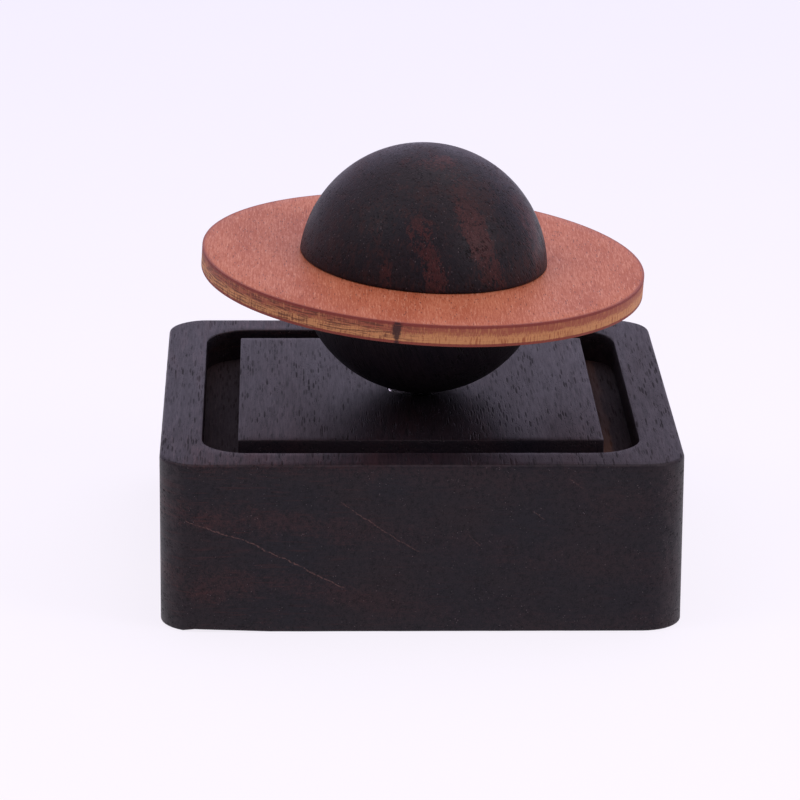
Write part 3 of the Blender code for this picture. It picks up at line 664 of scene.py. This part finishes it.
# %% Beech and inner plywood
BEECH_PALE = (0.560, 0.370, 0.215, 1)
BEECH_DEEP = (0.430, 0.250, 0.130, 1)
BEECH_FLECK = (0.260, 0.130, 0.060, 1)
PLY_DARK = (0.300, 0.170, 0.085, 1)
PLY_THICKNESS = 0.65


def beech(name, grain_widths, fleck_widths):
    look = Look(name)
    place = look.place()
    broad = look.noise(place, tuple(6 * width for width in grain_widths), detail=2)
    fibres = look.noise(place, grain_widths, detail=4, roughness=0.65, shift=2)
    colour = look.mix(BEECH_DEEP, BEECH_PALE, (broad * 0.5 + fibres * 0.5).step(0.36, 0.60))
    distance, chance = look.cells(place, fleck_widths)
    flecks = distance.step(0.30, 0.16) * chance.step(0.50, 0.58)
    colour = look.mix(colour, BEECH_FLECK, flecks * 0.55)
    return look.finish(colour, 0.52 + fibres * 0.15, fibres * 0.012 - flecks * 0.015)


def birch_plywood():
    look = Look("birch plywood")
    place = look.place()
    z = look.split(place)[2]
    on_edge = look.facing()[2].size().step(0.75, 0.45)
    fibres = look.noise(place, (0.5, 9, 0.5), detail=4, roughness=0.6)
    face = look.mix(BEECH_DEEP, BEECH_PALE, fibres.step(0.30, 0.58))
    plies = (z * (math.pi / PLY_THICKNESS)).wave()
    streaks = look.noise(place, (0.3, 0.3, 3), detail=3, shift=5)
    ply = look.mix(BEECH_PALE, PLY_DARK, plies.step(-0.15, 0.15) * 0.75)
    ply = look.mix(ply, PLY_DARK, streaks.step(0.50, 0.70) * 0.5)
    colour = look.mix(face, ply, on_edge)
    return look.finish(colour, 0.55 + fibres * 0.15, fibres * 0.012 + streaks * on_edge * 0.02)


BEECH_ALONG_Y = beech("beech, grain front to back", (0.5, 8, 0.5), (0.5, 2.2, 0.5))
BEECH_ALONG_X = beech("beech, grain left to right", (8, 0.5, 0.5), (2.2, 0.5, 0.5))
BEECH_UPRIGHT = beech("beech, grain upright", (0.5, 0.5, 8), (0.5, 0.5, 2.2))
BIRCH_PLYWOOD = birch_plywood()

# %% [markdown]
# The metals are a plated nickel, a turned brass spindle and plain steel screws. They differ in
# colour, in how dull handling has made them, in the way their scratches run, and in the fine
# rings that a lathe leaves on the spindle.

# %% Metals
HANDLED_WIDTH = 1.6


def metal(name, bright, dull, roughness, scratch_widths, groove_width=None):
    look = Look(name)
    place = look.place()
    scratches = look.noise(place, scratch_widths, detail=4, roughness=0.7)
    handling = look.noise(place, (HANDLED_WIDTH, HANDLED_WIDTH, HANDLED_WIDTH), detail=4, shift=3)
    handled = handling.step(0.45, 0.70)
    colour = look.mix(bright, dull, handled * 0.7)
    rough = roughness + scratches * 0.06 + handled * 0.06
    height = scratches * 0.0004
    if groove_width:
        x, y = look.split(place)[:2]
        grooves = ((x * x + y * y).root() * (2 * math.pi / groove_width)).wave()
        height = height + grooves * 0.001
    return look.finish(colour, rough, height, Metallic=1.0)


NICKEL = metal("plated nickel", (0.72, 0.70, 0.68, 1), (0.52, 0.50, 0.48, 1), 0.08,
               (0.3, 0.3, 0.3))
BRASS = metal("turned brass", (0.72, 0.47, 0.17, 1), (0.42, 0.25, 0.09, 1), 0.24,
              (0.5, 0.5, 0.05), groove_width=0.18)
STEEL = metal("plain steel", (0.50, 0.49, 0.47, 1), (0.26, 0.25, 0.24, 1), 0.30,
              (0.4, 0.4, 0.1))

# %% [markdown]
# ## Outlines and lofts
# The box and the plate are both squares with something round cut into them. One outline function
# walks round a square with round corners, always with the same number of points. Any two of its
# outlines can then be joined point by point, and a stack of outlines makes a solid with softly
# rounded edges. The same trick turns a square into a circle for the hole in the plate.

# %% Outlines
SIDE_STOPS = 41
ARC_STEPS = 10


def square_outline(half, radius, reach, stops=SIDE_STOPS, arc_steps=ARC_STEPS):
    """Points round a square with round corners, with stops spread over +-reach on each side."""
    stations = [-reach + 2 * reach * i / (stops - 1) for i in range(stops)]
    straight = half - radius
    quarter = [Vector((half, s)) for s in stations]
    for i in range(arc_steps + 1):
        angle = math.pi / 2 * i / arc_steps
        quarter.append(Vector((straight + radius * math.cos(angle),
                               straight + radius * math.sin(angle))))
    turns = [Matrix.Rotation(math.pi / 2 * k, 2) for k in range(4)]
    return [t @ p for t in turns for p in quarter]


def between(first, second, amount):
    return [a.lerp(b, amount) for a, b in zip(first, second)]


def circle_like(outline, radius):
    """A circle whose points stand in the same directions as the outline's."""
    return [p.normalized() * radius for p in outline]


def edge_curve(radius, steps):
    """(inset, drop) pairs down a quarter-round edge, from the face to the side."""
    angles = [math.pi / 2 * i / steps for i in range(steps + 1)]
    return [(radius * (1 - math.sin(a)), radius * (1 - math.cos(a))) for a in angles]


def new_piece(name, mesh_maker, material, sharp_degrees=35):
    """An object from a bmesh, with smooth shading except at sharp edges."""
    bmesh.ops.recalc_face_normals(mesh_maker, faces=mesh_maker.faces)
    mesh = bpy.data.meshes.new(name)
    mesh_maker.to_mesh(mesh)
    mesh_maker.free()
    mesh.shade_smooth()
    mesh.set_sharp_from_angle(angle=math.radians(sharp_degrees))
    mesh.materials.append(material)
    piece = bpy.data.objects.new(name, mesh)
    bpy.context.scene.collection.objects.link(piece)
    print(name, "has", len(mesh.polygons), "faces")
    return piece


def loft(rows, skip=()):
    """A solid from rows of (outline, height), the last joined to the first.

    skip holds the (row, column) of each face to leave out. Returns the bmesh and its vertices by
    row.
    """
    made = bmesh.new()
    grid = [[made.verts.new((p.x, p.y, height)) for p in outline] for outline, height in rows]
    across = len(grid[0])
    for r in range(len(grid)):
        lower, upper = grid[r], grid[(r + 1) % len(grid)]
        for c in range(across):
            if (r, c) not in skip:
                after = (c + 1) % across
                made.faces.new((lower[c], lower[after], upper[after], upper[c]))
    return made, grid


ON_AXIS = 1e-7


def turned(profile, steps):
    """A lathe: the (radius, height) profile turned round Z. Ends on the axis are closed."""
    made = bmesh.new()
    rows = []
    for radius, height in profile:
        if radius < ON_AXIS:
            rows.append([made.verts.new((0, 0, height))])
            continue
        angles = [2 * math.pi * i / steps for i in range(steps)]
        rows.append([made.verts.new((radius * math.cos(a), radius * math.sin(a), height))
                     for a in angles])
    pairs = list(zip(rows, rows[1:]))
    if len(rows[0]) > 1:
        pairs.append((rows[-1], rows[0]))
    for first, second in pairs:
        for i in range(steps):
            j = (i + 1) % steps
            corners = [first[i % len(first)], first[j % len(first)],
                       second[j % len(second)], second[i % len(second)]]
            made.faces.new(list(dict.fromkeys(corners)))
    return made


# %% [markdown]
# ## The box
# The frame is one block whose outside edges were eased with sandpaper, with the pocket milled
# right through and a slot in the back wall for the drawer. It is a loft that goes up the outside,
# over the rim, down the inside and back along the foot. The faces where the drawer comes out are
# left out of the loft and the slot's own four walls are sewn in. A little noise on the edges
# takes away the machine-made look, and the foot has a small chip at the front left.

# %% Build the box frame
BOX_CORNER = 5.5 * MM
POCKET_CORNER = 6.3 * MM
OUTER_EASE = 0.5 * MM
FOOT_EASE = 0.3 * MM
INNER_EASE = 0.25 * MM
SLOT_HALF = DRAWER_FACE_HIGH.x + FIT_GAP
SLOT_LOW = PANEL_HIGH.z
SLOT_HIGH = ROOF_LOW.z
CHIP_X = -29.3 * MM
CHIP_REACH = 2.6 * MM
CHIP_RISE = 0.32 * MM
CHIP_DEPTH = 1.5 * MM
WALL_LEVELS = [13 * MM, 16 * MM, 19 * MM, 21.5 * MM]
RIM_WEAR = 0.05 * MM
FOOT_WEAR = 0.03 * MM
WEAR_WIDTH = 2.4 * MM


def box_outer(inset):
    return square_outline(BOX_HIGH.x - inset, BOX_CORNER - inset, SLOT_HALF)


def box_inner(inset):
    return square_outline(POCKET_HALF + inset, POCKET_CORNER + inset, SLOT_HALF)


def build_box_frame():
    top = BOX_HIGH.z
    levels = [SLOT_LOW, (SLOT_LOW + SLOT_HIGH) / 2, SLOT_HIGH] + WALL_LEVELS
    rows = [(box_outer(inset), drop) for inset, drop in edge_curve(FOOT_EASE, 4)]
    first_outer = len(rows)
    rows += [(box_outer(0), level) for level in levels]
    rows += [(box_outer(inset), top - drop) for inset, drop in reversed(edge_curve(OUTER_EASE, 6))]
    rim_start, rim_end = box_outer(OUTER_EASE), box_inner(INNER_EASE)
    rows += [(between(rim_start, rim_end, t), top) for t in (0.25, 0.5, 0.75)]
    rows += [(box_inner(inset), top - drop) for inset, drop in edge_curve(INNER_EASE, 3)]
    first_inner = len(rows)
    rows += [(box_inner(0), level) for level in reversed(levels)]
    rows += [(box_inner(inset), drop) for inset, drop in reversed(edge_curve(INNER_EASE, 3))]
    quarter = SIDE_STOPS + ARC_STEPS + 1
    slot_columns = range(quarter, quarter + SIDE_STOPS - 1)
    low_inner = first_inner + len(levels) - 3
    skip = {(first_outer + r, c) for r in range(2) for c in slot_columns}
    skip |= {(low_inner + r, c) for r in range(2) for c in slot_columns}
    made, grid = loft(rows, skip)
    outer = grid[first_outer:first_outer + 3]
    inner = list(reversed(grid[low_inner:low_inner + 3]))
    for c in slot_columns:
        made.faces.new((outer[0][c], outer[0][c + 1], inner[0][c + 1], inner[0][c]))
        made.faces.new((outer[2][c], outer[2][c + 1], inner[2][c + 1], inner[2][c]))
    for c in (slot_columns.start, slot_columns.stop):
        for r in range(2):
            made.faces.new((outer[r][c], outer[r + 1][c], inner[r + 1][c], inner[r][c]))
    return made


def ease_by_hand(made):
    """Moves the edges in by a few hundredths of a millimetre, and chips the foot."""
    top = BOX_HIGH.z
    for vertex in made.verts:
        place = vertex.co
        wobble = 0.5 + 0.5 * noise.noise(place / WEAR_WIDTH)
        if place.z > top - OUTER_EASE:
            vertex.co.z -= RIM_WEAR * wobble
        elif place.z < FOOT_EASE:
            vertex.co.z += FOOT_WEAR * wobble
        chip = 1 - abs(place.x - CHIP_X) / CHIP_REACH
        if chip > 0 and place.z < OUTER_EASE and place.y < BOX_LOW.y + CHIP_DEPTH:
            vertex.co.z += CHIP_RISE * min(1.0, 2 * chip) * (0.7 + 0.3 * wobble)


box_mesh = build_box_frame()
ease_by_hand(box_mesh)
box_frame = new_piece("carved_box_frame", box_mesh, BOX_HARDWOOD)
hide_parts("box_frame")
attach(box_frame, "box")

# %% [markdown]
# ## The floating plate
# The plate keeps sharp corners and edges that are barely broken. Its middle has a seat for the
# magnet, bored to fit closely, and a small hole below it for the spindle. The top runs from the
# square edge to the round seat in a few steps. The board at the bottom of the pocket is glued in
# tight against the walls, with a square window for the block that carries the plate.

# %% Build the plate
PLATE_CORNER = 0.22 * MM
PLATE_EASE = 0.16 * MM
SEAT_RADIUS = 4.07 * MM
SEAT_EASE = 0.08 * MM
SEAT_DEPTH = 1.5 * MM
SEAT_BELOW_MAGNET = 1.6 * MM
SPINDLE_HOLE = 2.3 * MM
SNUG = 0.01 * MM
WINDOW_HALF = 11.5 * MM
WINDOW_CORNER = 0.5 * MM
PLATE_STOP_MARGIN = 0.3 * MM
PLATE_WEAR = 0.04 * MM
PLATE_WEAR_WIDTH = 2.0 * MM


def plate_outline(inset):
    half = PLATE_HIGH.x - inset
    reach = half - PLATE_CORNER - PLATE_STOP_MARGIN
    return square_outline(half, PLATE_CORNER, reach, stops=31, arc_steps=4)


def build_plate():
    low, high = PLATE_LOW.z, PLATE_HIGH.z
    seat_floor = MAGNET_LOW.z - SEAT_BELOW_MAGNET
    rows = [(plate_outline(inset), low + drop) for inset, drop in edge_curve(PLATE_EASE, 2)]
    rows += [(plate_outline(0), low + (high - low) * t) for t in (0.3, 0.6, 0.85)]
    rows += [(plate_outline(inset), high - drop) for inset, drop in reversed(edge_curve(PLATE_EASE, 4))]
    square = plate_outline(PLATE_EASE)
    eased_seat = circle_like(plate_outline(0), SEAT_RADIUS + SEAT_EASE)
    seat = circle_like(plate_outline(0), SEAT_RADIUS)
    hole = circle_like(plate_outline(0), SPINDLE_HOLE)
    rows += [(between(square, eased_seat, t), high) for t in (0.06, 0.3, 0.6, 0.85, 1.0)]
    rows += [(seat, height) for height in (high - SEAT_EASE, high - SEAT_DEPTH, seat_floor)]
    rows += [(hole, height) for height in (seat_floor, low)]
    rows += [(between(hole, square, t), low) for t in (0.3, 0.7)]
    return loft(rows)[0]


def build_pocket_floor():
    low, high = FLOOR_LOW.z, FLOOR_HIGH.z
    wall = square_outline(POCKET_HALF - SNUG, POCKET_CORNER - SNUG, SLOT_HALF)
    reach = WINDOW_HALF - 2 * WINDOW_CORNER
    window = square_outline(WINDOW_HALF, WINDOW_CORNER, reach)
    eased = square_outline(WINDOW_HALF + PLATE_EASE, WINDOW_CORNER + PLATE_EASE, reach)
    rows = [(wall, low), (wall, high)]
    rows += [(between(wall, eased, t), high) for t in (0.35, 0.7, 1.0)]
    rows += [(window, high - PLATE_EASE), (window, low + PLATE_EASE), (eased, low)]
    return loft(rows)[0]


pocket_board = new_piece("pocket_board", build_pocket_floor(), POCKET_HARDWOOD)
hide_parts("pocket_floor")
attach(pocket_board, "box")

plate_mesh = build_plate()
for vertex in plate_mesh.verts:
    if max(abs(vertex.co.x), abs(vertex.co.y)) > PLATE_HIGH.x - 2 * PLATE_EASE:
        vertex.co.z -= PLATE_WEAR * (0.5 + 0.5 * noise.noise(vertex.co / PLATE_WEAR_WIDTH))
plate = new_piece("floating_plate", plate_mesh, PLATE_HARDWOOD)
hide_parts("top_plate")
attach(plate, "plate")

# %% [markdown]
# The magnet is a plated disc with a small chamfer, as all such discs have. Only its front edge
# can be seen past the foot of the ball.

# %% Build the plate's magnet
MAGNET_CHAMFER = 0.22 * MM
MAGNET_STEPS = 96


def build_disc(radius, low, high):
    soft = MAGNET_CHAMFER * 0.3
    upper = [(0, high), (radius * 0.5, high), (radius - MAGNET_CHAMFER, high),
             (radius - soft, high - MAGNET_CHAMFER + soft), (radius, high - MAGNET_CHAMFER)]
    lower = [(r, low + high - h) for r, h in reversed(upper)]
    return turned(upper + lower, MAGNET_STEPS)


magnet_mesh = build_disc(MAGNET_HIGH.x, MAGNET_LOW.z, MAGNET_HIGH.z)
plate_magnet = new_piece("disc_magnet", magnet_mesh, NICKEL)
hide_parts("plate_magnet")
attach(plate_magnet, "magnet_turntable")

# %% [markdown]
# ## The planet
# The ball is two turned halves with the ring between them. Each half is a profile on a lathe:
# from the pole round to a crisp lip, in along the flat to the bore for the dowel, and up the
# bore. The middles of the two halves lie a little apart along the axis, as hand-turned halves
# do. Both are built upright and leaned with the planet's own matrix.

# %% Build the half balls
UPPER_SHIFT = -0.02 * MM
LOWER_SHIFT = 0.35 * MM
BALL_RADIUS = 17.2 * MM
CAP_FACE = 1.56 * MM
LIP = 0.12 * MM
BORE_RADIUS = 4.3 * MM
UPPER_BORE_END = 11.3 * MM
LOWER_BORE_END = 15.45 * MM
BALL_ARC = 60
BALL_STEPS = 160


def half_ball(bore_end, side, shift):
    """Profile of one half: side is +1 for the upper half and -1 for the lower."""
    lip_angle = math.asin((CAP_FACE + LIP - shift) / BALL_RADIUS)
    points = []
    for i in range(BALL_ARC + 1):
        angle = math.pi / 2 + (lip_angle - math.pi / 2) * i / BALL_ARC
        points.append((BALL_RADIUS * math.cos(angle), shift + BALL_RADIUS * math.sin(angle)))
    rim = points[-1][0]
    points += [(rim - LIP * 0.3, CAP_FACE + LIP * 0.3), (rim - LIP, CAP_FACE)]
    points += [(rim * 0.6, CAP_FACE), (BORE_RADIUS, CAP_FACE), (BORE_RADIUS, bore_end), (0, bore_end)]
    points[0] = (0, points[0][1])
    return turned([(radius, height * side) for radius, height in points], BALL_STEPS)


upper_mesh = half_ball(UPPER_BORE_END, 1, UPPER_SHIFT)
lower_mesh = half_ball(LOWER_BORE_END, -1, LOWER_SHIFT)
upper_ball = new_piece("turned_upper_ball", upper_mesh, BALL_HARDWOOD)
lower_ball = new_piece("turned_lower_ball", lower_mesh, BALL_HARDWOOD)
for ball, node in ((upper_ball, "planet_upper_half"), (lower_ball, "planet_lower_half")):
    ball.matrix_world = PLANET_PLACE
    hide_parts(node)
    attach(ball, "planet")

# %% [markdown]
# The ring's edge isn't quite flat: a laser cuts the glue lines back a little further than the
# wood, so each line between two plies is a fine groove in the profile.

# %% Build the ring
GROOVE = 0.03 * MM
GROOVE_HALF_WIDTH = 0.04 * MM
RING_EASE = 0.10 * MM
RING_STEPS = 288
FACE_STOPS = [BORE_RADIUS, 12 * MM, 20 * MM, 28 * MM]


def ring_profile():
    soft = 0.3 * RING_EASE
    points = [(radius, RING_HALF) for radius in FACE_STOPS]
    points += [(RING_RADIUS - RING_EASE, RING_HALF), (RING_RADIUS - soft, RING_HALF - soft),
               (RING_RADIUS, RING_HALF - RING_EASE)]
    for line in (RING_HALF - VENEER, -RING_HALF + VENEER):
        points += [(RING_RADIUS, line + GROOVE_HALF_WIDTH), (RING_RADIUS - GROOVE, line),
                   (RING_RADIUS, line - GROOVE_HALF_WIDTH)]
    points += [(RING_RADIUS, -RING_HALF + RING_EASE), (RING_RADIUS - soft, -RING_HALF + soft),
               (RING_RADIUS - RING_EASE, -RING_HALF)]
    return points + [(radius, -RING_HALF) for radius in reversed(FACE_STOPS)]


ring = new_piece("plywood_ring", turned(ring_profile(), RING_STEPS), RING_PLYWOOD)
ring.matrix_world = PLANET_PLACE
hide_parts("planet_ring")
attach(ring, "ring")

# %% [markdown]
# ## The drawer's face
# The drawer is meant to be a secret, so its face is a plain block, flush with the back and cut
# from the same board, with its edges just eased.

# %% Build the drawer's face
FACE_EASE = 0.3 * MM


def build_drawer_face():
    low, high = DRAWER_FACE_LOW, DRAWER_FACE_HIGH
    made = bmesh.new()
    middle, extent = (low + high) / 2, high - low
    bmesh.ops.create_cube(made, size=1.0)
    for vertex in made.verts:
        vertex.co = Vector([middle[i] + vertex.co[i] * extent[i] for i in range(3)])
    bmesh.ops.bevel(made, geom=list(made.edges), offset=FACE_EASE, segments=4, profile=0.5,
                    affect="EDGES")
    return made


drawer_face = new_piece("eased_drawer_face", build_drawer_face(), BOX_HARDWOOD)
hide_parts("drawer_face")
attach(drawer_face, "drawer")

# %% [markdown]
# ## Finishes for the pieces that keep their shape
# The inside pieces are exactly what the engineering model says, so they keep their meshes and
# only get a finish. The grain follows each piece's length.

# %% Dress the frame's own pieces
DRESSING = {
    "bottom_panel": BOX_HARDWOOD,
    "drawer_tray": BEECH_ALONG_Y,
    "drawer_runner_left": BEECH_ALONG_Y, "drawer_runner_right": BEECH_ALONG_Y,
    "catch_block": BEECH_ALONG_X, "x_rail_front": BEECH_ALONG_X, "x_rail_back": BEECH_ALONG_X,
    "plate_neck": BEECH_ALONG_Y, "planet_dowel": BEECH_UPRIGHT,
    "middle_panel": BIRCH_PLYWOOD, "x_slide": BIRCH_PLYWOOD, "y_slide": BIRCH_PLYWOOD,
    "planet_magnet": NICKEL, "catch_magnet": NICKEL, "drawer_magnet": NICKEL,
    "magnet_spindle": BRASS, "spindle_clip": STEEL, "neck_screw_1": STEEL, "neck_screw_2": STEEL,
    "bottom_screw_front_left": STEEL, "bottom_screw_front_right": STEEL,
    "bottom_screw_back_left": STEEL, "bottom_screw_back_right": STEEL,
}
for node, material in DRESSING.items():
    for material_slot in nodes[node].material_slots:
        material_slot.material = material
print("dressed", len(DRESSING), "pieces of the frame")
